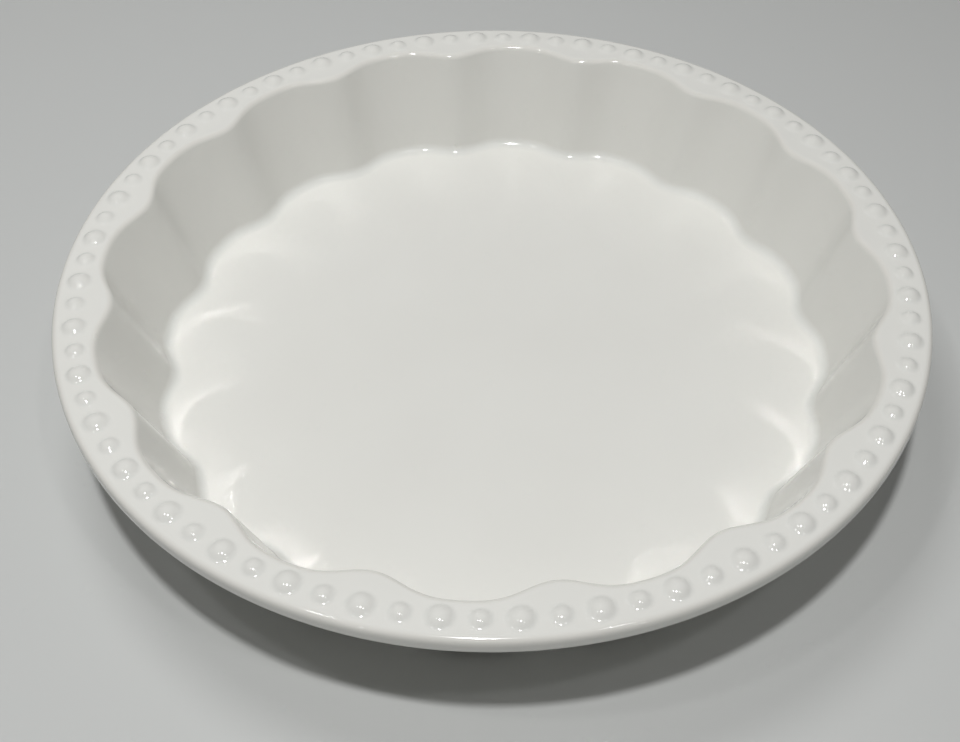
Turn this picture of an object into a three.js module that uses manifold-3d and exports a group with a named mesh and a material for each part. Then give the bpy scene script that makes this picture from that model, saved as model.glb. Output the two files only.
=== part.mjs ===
import * as THREE from 'three';
import { mergeVertices } from 'three/addons/utils/BufferGeometryUtils.js';
import Module from 'manifold-3d';

// Round baking dish of pressed stoneware: a flat floor, a fluted wall that flares out to a broad flat rim,
// and a row of large and small beads on the rim. A glaze covers all but the foot ring that it stands on.
// Sizes are millimetres and degrees, measured on the glazed surface.

// Rim and cavity
const rimDiameter = 280;
const rimWidth = 14.8;
const lipThickness = 5.5;
const cavityDepth = 37;
const wallSlope = 20.3;
const wallThickness = 5.5;
const floorThickness = 6;

// Flutes of the wall, deepest at the rim: the crests between them point to the middle of the dish
const fluteCount = 16;
const rimFluteDepth = 5.4;
const floorFluteDepth = 4.6;
const crestSharpness = 0.2;

// Beads of the rim, large and small in turn, with a bead on every crest
const beadsPerFlute = 5;
const beadSetback = 7;
const largeBeadDiameter = 7.5;
const largeBeadHeight = 1.8;
const smallBeadDiameter = 6;
const smallBeadHeight = 1.5;

// Foot ring under the base, bare below and glazed above
const bareFootHeight = 0.8;
const glazedFootHeight = 1.2;
const footWidth = 6;
const footSetback = 9;

// Roundings
const floorFillet = 4;
const rimInnerRounding = 2.3;
const rimOuterRounding = 2;
const lipEdgeRounding = 1.3;
const baseRounding = 5;

// Glaze, with the seam that keeps it apart from the clay
const glazeThickness = 0.5;
const glazeSeam = 0.05;

// Facets
const columnsPerFlute = 5;
const beadSides = 6;
const beadRings = 2;

const rimRadius = rimDiameter / 2;
const beadRadius = rimRadius - beadSetback;
const beadCount = fluteCount * beadsPerFlute;
const columns = fluteCount * columnsPerFlute;
const footHeight = bareFootHeight + glazedFootHeight;
const floorTop = footHeight + floorThickness;
const rimTop = floorTop + cavityDepth;
const lipUnderside = rimTop - lipThickness;
const clayDepth = glazeThickness + glazeSeam;
const slope = THREE.MathUtils.degToRad(wallSlope);
const fullTurn = 2 * Math.PI;

const innerWallRadius = (height) => rimRadius - rimWidth - (rimTop - height) * Math.tan(slope);
const outerWallRadius = (height) => innerWallRadius(height) + wallThickness / Math.cos(slope);
const footOuterRadius = outerWallRadius(footHeight) - floorFluteDepth / 2 - footSetback;
const footInnerRadius = footOuterRadius - footWidth;

const wasm = await Module();
wasm.setup();

// Radial swing of flutes of one depth: broad hollows, and crests drawn tighter by a second wave
function fluteSwing(angle, fluteDepth) {
  const wave = Math.cos(fluteCount * angle) + crestSharpness * Math.cos(2 * fluteCount * angle);
  return -wave * fluteDepth / 2;
}

// A corner of the half section: its place, its rounding in so many facets, and how deep the flutes are there
function corner(radius, height, rounding = 0, facets = 1, fluteDepth = 0) {
  return { at: new THREE.Vector2(radius, height), rounding, facets, fluteDepth };
}

// The same corners on a surface that lies deeper in the material by the same distance everywhere:
// outer corners get a smaller rounding and inner corners a larger one
function setBack(corners, depth) {
  const edges = corners.slice(1).map(({ at }, i) => at.clone().sub(corners[i].at).normalize());
  return corners.map(({ at, rounding, facets, fluteDepth }, i) => {
    const before = edges[Math.max(i - 1, 0)];
    const after = edges[Math.min(i, edges.length - 1)];
    const inward = new THREE.Vector2(-before.y - after.y, before.x + after.x);
    const moved = at.clone().addScaledVector(inward, depth / (1 + before.dot(after)));
    const deeper = rounding - Math.sign(before.cross(after)) * depth;
    return corner(moved.x, moved.y, rounding > 0 ? Math.max(deeper, 0) : 0, facets, fluteDepth);
  });
}

// Points along the corners, each rounding drawn as a curve; two roundings on a short edge share its length
function roundedPoints(corners) {
  return corners.flatMap(({ at, rounding, facets, fluteDepth }, i) => {
    if (rounding === 0) {
      return [{ at, fluteDepth }];
    }
    const [behind, ahead] = [corners[i - 1], corners[i + 1]].map((other) => {
      const edge = other.at.clone().sub(at);
      return { edge, room: edge.length() * rounding / (rounding + other.rounding) };
    });
    const halfAngle = Math.acos(behind.edge.dot(ahead.edge) / behind.edge.length() / ahead.edge.length()) / 2;
    const reach = Math.min(rounding / Math.tan(halfAngle), behind.room, ahead.room);
    const start = behind.edge.setLength(reach).add(at);
    const end = ahead.edge.setLength(reach).add(at);
    const curve = new THREE.QuadraticBezierCurve(start, at, end);
    return curve.getPoints(facets).map((point) => ({ at: point, fluteDepth }));
  });
}

// Closed mesh with shared vertices and no collapsed triangles
function closedGeometry(geometry) {
  geometry.deleteAttribute('normal');
  geometry.deleteAttribute('uv');
  const merged = mergeVertices(geometry);
  const corners = merged.index.array;
  const kept = [];
  for (let i = 0; i < corners.length; i += 3) {
    const [a, b, c] = corners.slice(i, i + 3);
    if (a !== b && b !== c && c !== a) {
      kept.push(a, b, c);
    }
  }
  merged.setIndex(kept);
  return merged;
}

function solidFrom(geometry) {
  const closed = closedGeometry(geometry);
  const vertProperties = new Float32Array(closed.attributes.position.array);
  const triVerts = new Uint32Array(closed.index.array);
  return new wasm.Manifold(new wasm.Mesh({ numProp: 3, vertProperties, triVerts }));
}

// Section turned about the upright axis, with its fluted points swung in and out
function turned(points, sides) {
  const geometry = new THREE.LatheGeometry(points.map(({ at }) => at), sides);
  geometry.rotateX(Math.PI / 2);
  const places = geometry.attributes.position;
  const place = new THREE.Vector3();
  for (let i = 0; i < places.count; i += 1) {
    const { fluteDepth } = points[i % points.length];
    if (fluteDepth > 0) {
      place.fromBufferAttribute(places, i);
      const swing = fluteSwing(Math.atan2(place.y, place.x), fluteDepth);
      const stretch = 1 + swing / Math.hypot(place.x, place.y);
      places.setXY(i, place.x * stretch, place.y * stretch);
    }
  }
  return solidFrom(geometry);
}

function geometryFrom(solid) {
  const { vertProperties, triVerts } = solid.getMesh();
  const geometry = new THREE.BufferGeometry();
  geometry.setAttribute('position', new THREE.BufferAttribute(vertProperties, 3));
  geometry.setIndex(new THREE.BufferAttribute(triVerts, 1));
  geometry.computeVertexNormals();
  return geometry;
}

// One dome of a bead's round cap, set back from the glazed surface, with a root that reaches below the rim
function beadDome(diameter, height, depth, root) {
  const base = diameter / 2;
  const capRadius = (base * base + height * height) / (2 * height);
  const capCentre = height - capRadius;
  const radius = capRadius - depth;
  const edgeAngle = Math.acos((-depth - capCentre) / radius);
  const points = [new THREE.Vector2(0, -root)];
  points.push(new THREE.Vector2(radius * Math.sin(edgeAngle), -root));
  for (let ring = beadRings; ring >= 0; ring -= 1) {
    const angle = edgeAngle * ring / beadRings;
    points.push(new THREE.Vector2(radius * Math.sin(angle), capCentre + radius * Math.cos(angle)));
  }
  const geometry = new THREE.LatheGeometry(points, beadSides);
  geometry.rotateX(Math.PI / 2);
  return geometry;
}

// All beads of the rim as separate solids, set back by one depth
function beadSolids(depth) {
  const root = lipThickness / 2;
  const domes = [
    beadDome(largeBeadDiameter, largeBeadHeight, depth, root),
    beadDome(smallBeadDiameter, smallBeadHeight, depth, root),
  ];
  return Array.from({ length: beadCount }, (_, i) => {
    const dome = domes[i % domes.length].clone();
    dome.translate(beadRadius, 0, rimTop);
    dome.rotateZ(fullTurn * i / beadCount);
    return solidFrom(dome);
  });
}

// Half section of the glazed dish, from the foot ring up the outside, over the rim and down to the floor
const dishCorners = [
  corner(footOuterRadius, footHeight),
  corner(outerWallRadius(footHeight), footHeight, baseRounding, 1, floorFluteDepth),
  corner(outerWallRadius(lipUnderside), lipUnderside, 0, 1, rimFluteDepth),
  corner(rimRadius, lipUnderside, lipEdgeRounding),
  corner(rimRadius, rimTop, rimOuterRounding, 2),
  corner(innerWallRadius(rimTop), rimTop, rimInnerRounding, 2, rimFluteDepth),
  corner(innerWallRadius(floorTop), floorTop, floorFillet, 2, floorFluteDepth),
  corner(0, floorTop),
];

// The recess inside the foot ring
const recessCorners = [
  corner(0, footHeight),
  corner(footInnerRadius, footHeight),
];

// The whole dish with its surface set back by one depth, none for the glazed face. The foot ring is cut
// off level at its own height, so its underside starts lower by as much as it is then set back.
function dishForm(depth, footLevel) {
  const footCorners = [
    corner(footInnerRadius, footLevel - depth),
    corner(footOuterRadius, footLevel - depth),
  ];
  const outline = setBack([...recessCorners, ...footCorners, ...dishCorners], depth);
  const plain = turned(roundedPoints(outline), columns);
  return beadSolids(depth).reduce((form, bead) => form.add(bead), plain);
}

// The bare foot ring parts the glaze of the recess from that of the dish
const clay = dishForm(clayDepth, 0);
const glaze = dishForm(0, bareFootHeight).subtract(dishForm(glazeThickness, bareFootHeight));
const underFloor = turned([
  corner(0, 0),
  corner(footInnerRadius + footWidth / 2, 0),
  corner(footInnerRadius + footWidth / 2, footHeight + floorThickness / 2),
  corner(0, footHeight + floorThickness / 2),
], columns);

function piece(name, solid, material) {
  const mesh = new THREE.Mesh(geometryFrom(solid), new THREE.MeshStandardMaterial(material));
  mesh.name = name;
  return mesh;
}

const whiteGlaze = { color: '#eceae4', roughness: 0.08, metalness: 0 };
const bareStoneware = { color: '#e3dccd', roughness: 0.85, metalness: 0 };

const dish = new THREE.Group();
dish.add(piece('stoneware_body', clay, bareStoneware));
dish.add(piece('dish_glaze', glaze.subtract(underFloor), whiteGlaze));
dish.add(piece('base_glaze', glaze.intersect(underFloor), whiteGlaze));

export default dish;
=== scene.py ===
import bpy
import numpy as np
from mathutils import Matrix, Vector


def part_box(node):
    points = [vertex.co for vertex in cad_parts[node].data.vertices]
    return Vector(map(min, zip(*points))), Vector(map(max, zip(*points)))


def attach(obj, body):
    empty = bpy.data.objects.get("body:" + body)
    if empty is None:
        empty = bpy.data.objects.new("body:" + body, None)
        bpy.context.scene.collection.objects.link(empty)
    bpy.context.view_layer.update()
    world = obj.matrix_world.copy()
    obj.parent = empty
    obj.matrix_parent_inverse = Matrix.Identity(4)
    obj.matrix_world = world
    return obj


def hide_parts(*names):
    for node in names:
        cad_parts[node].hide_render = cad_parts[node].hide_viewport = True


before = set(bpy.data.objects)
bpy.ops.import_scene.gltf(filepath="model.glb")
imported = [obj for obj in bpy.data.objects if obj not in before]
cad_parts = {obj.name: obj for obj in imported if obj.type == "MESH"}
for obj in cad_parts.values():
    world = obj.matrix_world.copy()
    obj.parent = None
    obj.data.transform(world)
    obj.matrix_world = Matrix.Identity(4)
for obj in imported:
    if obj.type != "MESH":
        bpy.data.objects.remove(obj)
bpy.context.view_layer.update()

# Stoneware body. White clay is pressed in one go into a mould that gives it the flat floor, the fluted wall
# that flares to a broad rim, the row of beads and the foot ring. Only the sole of the foot ring stays bare:
# it is wiped clean of glaze so that the dish does not stick to the kiln shelf.
glaze_low, glaze_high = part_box("dish_glaze")
recess_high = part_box("base_glaze")[1]
clay_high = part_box("stoneware_body")[1]

glaze_thickness = 0.0005
clay_depth = glaze_high.x - clay_high.x
large_bead_diameter = 0.0075
large_bead_rise = 0.0018
small_bead_diameter = 0.006
small_bead_rise = 0.0015
bead_setback = 0.007
bead_crease = 0.00025
bead_root = 0.001
flutes = 16
beads_per_flute = 5
rim_flute_depth = 0.0054
floor_flute_depth = 0.0046
crest_sharpness = 0.2
rim_width = 0.0148
lip_thickness = 0.0055
cavity_depth = 0.037
wall_slope = np.tan(np.radians(20.3))
wall_thickness = 0.0055
foot_width = 0.006

sole_rounding = 0.0009
foot_fillet = 0.0008
base_rounding = 0.005
lip_fillet = 0.0015
lip_edge_rounding = 0.0013
rim_outer_rounding = 0.002
rim_inner_rounding = 0.0023
floor_fillet = 0.004

rim_radius = glaze_high.x
rim_top = glaze_high.z - large_bead_rise
floor_top = rim_top - cavity_depth
lip_underside = rim_top - lip_thickness
glaze_line = glaze_low.z
foot_height = recess_high.z - glaze_thickness
foot_inner = recess_high.x - glaze_thickness
foot_outer = foot_inner + foot_width
bead_circle = rim_radius - bead_setback
bead_pitch = 2 * np.pi / (flutes * beads_per_flute)
columns_per_bead = 11
rim_rows = 5
hidden_fineness = 1.0


def inner_wall(height):
    """Mean radius of the wall's inner face: it falls in a straight line from the rim's inner edge."""
    return rim_radius - rim_width - (rim_top - height) * wall_slope


def outer_wall(height):
    """Mean radius of the wall's outer face, one wall thickness from the inner face, square to it."""
    return inner_wall(height) + wall_thickness * np.hypot(1, wall_slope)


def flute_swing(angle, flute_depth):
    """Radial swing of the wall: minus half the flute depth times a cosine with one wave a flute, plus a share
    of the cosine of twice that rate, which widens the hollows and draws the crests tighter."""
    wave = np.cos(flutes * angle) + crest_sharpness * np.cos(2 * flutes * angle)
    return -wave * flute_depth / 2


def bead_cap(angle, radius, depth):
    """Height over the rim of a spherical cap on the nearest place of the bead row, large and small in turn:
    the root of ball radius squared minus distance squared, less the depth of the ball's centre. Outside the
    foot of the bead it is negative."""
    place = np.rint(angle / bead_pitch)
    is_large = place % 2 == 0
    foot_radius = np.where(is_large, large_bead_diameter, small_bead_diameter) / 2
    rise = np.where(is_large, large_bead_rise, small_bead_rise)
    ball = (foot_radius ** 2 + rise ** 2) / (2 * rise)
    away = radius ** 2 + bead_circle ** 2 - 2 * radius * bead_circle * np.cos(angle - place * bead_pitch)
    return np.sqrt(np.maximum((ball - depth) ** 2 - away, 0)) - (ball - rise - depth)


def section(corners, depth, fineness):
    """Half section through corners of radius, height, flute depth, rounding and rows on the edge after it.
    It lies deeper in the material by one depth: a corner moves along the middle of its edges, outer roundings
    shrink and inner ones grow. A rounding is an arc tangent to both edges:
    start + rounding * (sine * edge + (1 - cosine) * normal). Its steps a radian are the fineness, which also
    multiplies the rows on an edge. One more row close to each end keeps an edge straight. Each row of the
    result is radius, height, flute depth, curl and depth in the material. The curl is a half sine over each
    rounding, up to 1 on outer ones and down to -1 on inner ones."""
    guard = 0.0004
    radius, height, flute_depth, rounding, edge_rows = np.array(corners).T
    places = np.stack([radius, height], 1)
    edges = np.diff(places, axis=0)
    edges /= np.linalg.norm(edges, axis=1, keepdims=True)
    before = np.vstack([edges[:1], edges])
    after = np.vstack([edges, edges[-1:]])
    to_left = np.array([[0, 1], [-1, 0]])
    cosine = np.sum(before * after, 1)
    turn = np.arctan2(np.sum(before @ to_left * after, 1), cosine)
    places += (before + after) @ to_left * (depth / (1 + cosine))[:, None]
    rounding = np.where(rounding > 0, rounding - np.sign(turn) * depth, 0)
    reach = (rounding * np.tan(np.abs(turn) / 2))[:, None]
    starts = places - before * reach
    ends = places + after * reach

    rows = []
    for i in range(len(corners)):
        steps = int(np.ceil(np.abs(turn[i]) * fineness)) if rounding[i] > 0 else 0
        swept = np.linspace(0, np.abs(turn[i]), steps + 1)[:, None]
        normal = np.sign(turn[i]) * before[i] @ to_left
        arc = starts[i] + rounding[i] * (np.sin(swept) * before[i] + (1 - np.cos(swept)) * normal)
        curl = np.sign(turn[i]) * np.sin(np.linspace(0, np.pi, steps + 1))[:, None]
        rows.append(np.hstack([arc, np.full_like(curl, flute_depth[i]), curl]))
        if i + 1 < len(corners):
            run = starts[i + 1] - ends[i]
            inset = min(guard / np.linalg.norm(run), 1 / 3)
            along = np.linspace(inset, 1 - inset, 2 + int(edge_rows[i] * fineness))[:, None]
            taper = flute_depth[i] + (flute_depth[i + 1] - flute_depth[i]) * along
            rows.append(np.hstack([ends[i] + run * along, taper, np.zeros_like(along)]))
    return np.insert(np.vstack(rows), 4, depth, 1)


def turned(name, rows):
    """Closed mesh of a section that starts and ends on the axis: each row is a ring whose radius swings with
    the flutes, and the rings on top of the rim rise with the beads by half of (cap + root of cap squared plus
    crease squared), which rounds the crease round a bead. The two ends are single points. The attribute edge
    holds the curl of the section, less what the rounding adds in the creases, as a share of its most."""
    columns = flutes * beads_per_flute * columns_per_bead
    angle = 2 * np.pi * np.arange(columns)[:, None] / columns
    radius, height, flute_depth, curl, depth = rows[1:-1].T
    radius = radius + flute_swing(angle, flute_depth)
    on_rim = height > rim_top - depth - bead_root
    cap = bead_cap(angle, radius, depth)
    rounded = np.hypot(cap, bead_crease)
    height = height + on_rim * (cap + rounded) / 2
    edge = curl - on_rim * (rounded - np.abs(cap)) / bead_crease
    ring = np.stack([radius * np.cos(angle), radius * np.sin(angle), height], -1).reshape(-1, 3)
    tips = [[0, 0, rows[0, 1]], [0, 0, rows[-1, 1]]]
    points = np.vstack([ring, tips])

    count = len(rows) - 2
    here = np.arange(columns)[:, None] * count + np.arange(count - 1)
    beside = np.roll(here, -1, axis=0)
    quads = np.stack([here, beside, beside + 1, here + 1], -1).reshape(-1, 4)
    first_tip = np.full(columns, len(ring))
    first_fan = np.stack([first_tip, beside[:, 0], here[:, 0]], -1)
    last_fan = np.stack([here[:, -1] + 1, beside[:, -1] + 1, first_tip + 1], -1)
    mesh = bpy.data.meshes.new(name)
    mesh.from_pydata(points.tolist(), [], quads.tolist() + first_fan.tolist() + last_fan.tolist())
    mesh.attributes.new("edge", "FLOAT", "POINT").data.foreach_set("value", np.append(edge, [0, 0]))
    mesh.shade_smooth()
    piece = bpy.data.objects.new(name, mesh)
    bpy.context.scene.collection.objects.link(piece)
    return piece


class Field:
    """A value that varies over a surface: the output of a node, with arithmetic that adds Math nodes."""

    def __init__(self, socket):
        self.socket = socket

    def math(self, operation, *values):
        """Adds a Math node that works on values, each a field or a number."""
        tree = self.socket.id_data
        node = tree.nodes.new("ShaderNodeMath")
        node.operation = operation
        for socket, value in zip(node.inputs, values):
            if isinstance(value, Field):
                tree.links.new(value.socket, socket)
            else:
                socket.default_value = value
        return Field(node.outputs[0])

    def __add__(self, other):
        return self.math("ADD", self, other)

    def __radd__(self, other):
        return self.math("ADD", other, self)

    def __sub__(self, other):
        return self.math("SUBTRACT", self, other)

    def __rsub__(self, other):
        return self.math("SUBTRACT", other, self)

    def __mul__(self, other):
        return self.math("MULTIPLY", self, other)

    def __rmul__(self, other):
        return self.math("MULTIPLY", other, self)

    def __lt__(self, other):
        return self.math("LESS_THAN", self, other)

    def __gt__(self, other):
        return self.math("GREATER_THAN", self, other)


class Finish:
    """The material of one surface, built node by node on the Object coordinates."""

    def __init__(self, name):
        self.material = bpy.data.materials.new(name)
        self.material.use_nodes = True
        self.tree = self.material.node_tree
        self.tree.nodes.clear()
        self.place = self.node("ShaderNodeTexCoord", {}, {})["Object"]

    def node(self, kind, settings, sockets):
        """Adds a node of a kind: its settings, then a value or link for each socket. Gives its outputs."""
        node = self.tree.nodes.new(kind)
        for setting, value in settings.items():
            setattr(node, setting, value)
        inputs = {socket.identifier: socket for socket in node.inputs}
        for socket, value in sockets.items():
            if isinstance(value, Field):
                self.tree.links.new(value.socket, inputs[socket])
            else:
                inputs[socket].default_value = value
        return {socket.identifier: Field(socket) for socket in node.outputs}

    def noise(self, scale, detail):
        """Soft noise from 0 to 1, with so many waves a metre."""
        sockets = {"Vector": self.place, "Scale": scale, "Detail": detail}
        return self.node("ShaderNodeTexNoise", {}, sockets)["Fac"]

    def specks(self, scale, size, share):
        """Round specks of a size in metres: one in the middle of each cell, kept in a share of the cells."""
        cells = self.node("ShaderNodeTexVoronoi", {}, {"Vector": self.place, "Scale": scale})
        draw = self.node("ShaderNodeSeparateColor", {}, {"Color": cells["Color"]})["Red"]
        return (cells["Distance"] < size * scale / 2) * (draw < share)

    def mix(self, factor, first, second):
        """Colour between two colours."""
        sockets = {"Factor_Float": factor, "A_Color": first, "B_Color": second}
        return self.node("ShaderNodeMix", {"data_type": "RGBA"}, sockets)["Result_Color"]

    def surface(self, sockets, height, relief):
        """Principled shader with a relief of a height field over so many metres."""
        bump = self.node("ShaderNodeBump", {}, {"Height": height, "Distance": relief})["Normal"]
        return self.node("ShaderNodeBsdfPrincipled", {}, {**sockets, "Normal": bump})["BSDF"]

    def cover(self, piece, shader):
        """Ends the material in a shader and puts it on a piece."""
        self.node("ShaderNodeOutputMaterial", {}, {"Surface": shader})
        piece.data.materials.append(self.material)


recess_rim = [
    (0, foot_height, 0, 0, 0),
    (foot_inner, foot_height, 0, foot_fillet, 0),
]
sole = [
    (foot_inner, -clay_depth, 0, sole_rounding, 0),
    (foot_outer, -clay_depth, 0, sole_rounding, 0),
]
dish_side = [
    (foot_outer, foot_height, 0, foot_fillet, 0),
    (outer_wall(foot_height), foot_height, floor_flute_depth, base_rounding, 0),
    (outer_wall(lip_underside), lip_underside, rim_flute_depth, lip_fillet, 0),
    (rim_radius, lip_underside, 0, lip_edge_rounding, 0),
    (rim_radius, rim_top, 0, rim_outer_rounding, rim_rows),
    (inner_wall(rim_top), rim_top, rim_flute_depth, rim_inner_rounding, 0),
    (inner_wall(floor_top), floor_top, floor_flute_depth, floor_fillet, 0),
    (0, floor_top, 0, 0, 0),
]
clay_body = turned("clay_body", section(recess_rim + sole + dish_side, clay_depth, hidden_fineness))

dark_buff = (0.62, 0.54, 0.42, 1)
pale_buff = (0.76, 0.70, 0.58, 1)
grit_brown = (0.30, 0.22, 0.15, 1)
bare_clay = Finish("bare_stoneware")
grain = bare_clay.noise(scale=1800, detail=4)
clouding = bare_clay.noise(scale=60, detail=2)
grit = bare_clay.specks(scale=450, size=0.0005, share=0.12)
clay_colour = bare_clay.mix(clouding * 0.6 + grain * 0.4, dark_buff, pale_buff)
clay_sockets = {
    "Base Color": bare_clay.mix(grit * 0.7, clay_colour, grit_brown),
    "Roughness": 0.92 - grain * 0.2,
}
bare_clay.cover(clay_body, bare_clay.surface(clay_sockets, height=grain - grit * 0.5, relief=0.00012))
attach(clay_body, "root")
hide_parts("stoneware_body")

# Dish glaze. A glassy white coat that is poured over the fired clay and fused in a second firing. It covers
# the cavity, rim, beads and outside down to a line just above the sole, draws thin and warm over edges, and
# runs thick and cool into creases.
glazed_fineness = 3.0
glazed_face = section([(foot_outer, glaze_line, 0, 0, 0)] + dish_side, 0, glazed_fineness)
bond_face = section([(foot_outer, glaze_line, 0, 0, 0)] + dish_side, glaze_thickness, hidden_fineness)
glazed_dish = turned("glazed_dish", np.vstack([bond_face[::-1], glazed_face]))

soft_white = (0.742, 0.738, 0.7, 1)
bright_white = (0.783, 0.782, 0.745, 1)
thin_warm = (0.71, 0.68, 0.62, 1)
pooled_cool = (0.73, 0.745, 0.715, 1)
pinhole_brown = (0.22, 0.19, 0.16, 1)
white_glaze = Finish("white_glaze")
drift = white_glaze.noise(scale=22, detail=2)
ripple = white_glaze.noise(scale=110, detail=1)
pinholes = white_glaze.specks(scale=38, size=0.0006, share=0.07)
edge = white_glaze.node("ShaderNodeAttribute", {"attribute_name": "edge"}, {})["Fac"]
thin = edge * (edge > 0)
pooled = -1 * edge * (edge < 0)
glaze_colour = white_glaze.mix(drift, soft_white, bright_white)
glaze_colour = white_glaze.mix(thin * 0.3, glaze_colour, thin_warm)
glaze_colour = white_glaze.mix(pooled * 0.5, glaze_colour, pooled_cool)
glaze_sockets = {
    "Base Color": white_glaze.mix(pinholes * 0.75, glaze_colour, pinhole_brown),
    "Roughness": 0.08 + drift * 0.04 + pinholes * 0.3,
}
glaze_relief = ripple - pinholes * 2
white_glaze.cover(glazed_dish, white_glaze.surface(glaze_sockets, height=glaze_relief, relief=0.00004))
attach(glazed_dish, "root")
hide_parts("dish_glaze")

# Recess glaze. The same coat on the underside, inside the foot ring. The bare sole parts it from the rest.
recess_edge = [(foot_inner, glaze_line, 0, 0, 0)]
recess_face = section(recess_rim + recess_edge, 0, glazed_fineness)
recess_bond = section(recess_rim + recess_edge, glaze_thickness, hidden_fineness)
glazed_recess = turned("glazed_recess", np.vstack([recess_face, recess_bond[::-1]]))
glazed_recess.data.materials.append(white_glaze.material)
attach(glazed_recess, "root")
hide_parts("base_glaze")

# Table top. A plain pale level surface that the foot ring stands on. Away from the dish it fades into the
# pale room, so that no horizon shows.
table_half = 3.0
fade_start = 0.55
fade_end = 1.5
room_colour = (1.0, 0.985, 0.96, 1)
room_paleness = 0.36
table_mesh = bpy.data.meshes.new("table_top")
table_corners = table_half * np.array([[-1, -1, 0], [1, -1, 0], [1, 1, 0], [-1, 1, 0]])
table_mesh.from_pydata(table_corners.tolist(), [], [[0, 1, 2, 3]])
table_top = bpy.data.objects.new("table_top", table_mesh)
bpy.context.scene.collection.objects.link(table_top)

pale_top = Finish("pale_top")
top_sockets = {"Base Color": (0.57, 0.58, 0.57, 1), "Roughness": 0.55}
top_grain = pale_top.noise(scale=200, detail=2)
lit_top = pale_top.surface(top_sockets, height=top_grain, relief=0.00002)
glow_sockets = {"Color": room_colour, "Strength": room_paleness}
room_glow = pale_top.node("ShaderNodeEmission", {}, glow_sockets)["Emission"]
away = pale_top.node("ShaderNodeVectorMath", {"operation": "LENGTH"}, {"Vector": pale_top.place})["Value"]
fade = pale_top.node(
    "ShaderNodeMapRange",
    {"interpolation_type": "SMOOTHSTEP"},
    {"Value": away, "From Min": fade_start, "From Max": fade_end},
)["Result"]
ray = pale_top.node("ShaderNodeLightPath", {}, {})
seen = ray["Is Camera Ray"] + ray["Is Glossy Ray"]
fading = {"Fac": seen * fade, "Shader": lit_top, "Shader_001": room_glow}
pale_top.cover(table_top, pale_top.node("ShaderNodeMixShader", {}, fading)["Shader"])

# Room light. One round ceiling lamp hangs in front of the dish between two weaker ones. A wide soft lamp over
# the far left is not mirrored in the glaze, and a row of small ones behind the camera only glints there. The
# room itself looks pale and lights little.
room_fill = 0.08
world = bpy.data.worlds.new("room")
world.use_nodes = True
room = world.node_tree.nodes["Background"]
room.inputs["Color"].default_value = room_colour
room_ray = world.node_tree.nodes.new("ShaderNodeLightPath").outputs
mirrored = Field(room_ray["Is Camera Ray"]) + Field(room_ray["Is Glossy Ray"])
room_strength = mirrored * (room_paleness - room_fill) + room_fill
world.node_tree.links.new(room_strength.socket, room.inputs["Strength"])
bpy.context.scene.world = world


def ceiling_lamp(name, place, diameter, power):
    """Round lamp that faces the table."""
    light = bpy.data.lights.new(name, "AREA")
    light.shape = "DISK"
    light.size = diameter
    light.energy = power
    lamp = bpy.data.objects.new(name, light)
    lamp.location = place
    lamp.visible_camera = False
    bpy.context.scene.collection.objects.link(lamp)
    return lamp


ceiling = 1.16
near_row = -0.33
far_row = -1.25
near_lamps = [(-0.38, 0.9), (0.04, 6.6), (0.46, 0.9)]
far_lamps = np.linspace(-0.9, 1.3, 5)
for i, (x, power) in enumerate(near_lamps):
    ceiling_lamp(f"near_lamp_{i}", (x, near_row, ceiling), diameter=0.08, power=power)
for i, x in enumerate(far_lamps):
    glint_lamp = ceiling_lamp(f"far_lamp_{i}", (x, far_row, ceiling), diameter=0.022, power=0.4)
    glint_lamp.visible_diffuse = False
soft_lamp = ceiling_lamp("soft_lamp", (-0.2, 0.12, 0.75), diameter=0.3, power=1.7)
soft_lamp.visible_glossy = False

# Camera. It looks down into the dish from the front, a little from the right, as the photograph does.
view_azimuth = np.radians(13.72)
view_elevation = np.radians(46.74)
view_roll = np.radians(0.81)
view_distance = 0.3947
view_aim = np.array([0.01809, -0.04024, rim_top])
level = np.array([np.cos(view_azimuth), np.sin(view_azimuth), 0])
behind = np.array([level[1], -level[0], 0])
back = np.cos(view_elevation) * behind + np.sin(view_elevation) * np.array([0, 0, 1])
upright = np.cross(back, level)
right = np.cos(view_roll) * level + np.sin(view_roll) * upright
up = np.cos(view_roll) * upright - np.sin(view_roll) * level
lens = bpy.data.cameras.new("camera")
lens.sensor_width = 36.0
lens.lens = 48.95
lens.shift_x = -0.0393
lens.shift_y = -0.0076
lens.clip_start = 0.01
camera = bpy.data.objects.new("camera", lens)
camera.matrix_world = Matrix.Translation(view_aim + view_distance * back) @ Matrix(
    np.stack([right, up, back], 1)
).to_4x4()
bpy.context.scene.collection.objects.link(camera)
bpy.context.scene.camera = camera
bpy.context.scene.view_settings.view_transform = "Standard"
bpy.context.scene.cycles.blur_glossy = 0
bpy.context.scene.cycles.use_guiding = True
bpy.context.scene.cycles.sample_clamp_indirect = 0
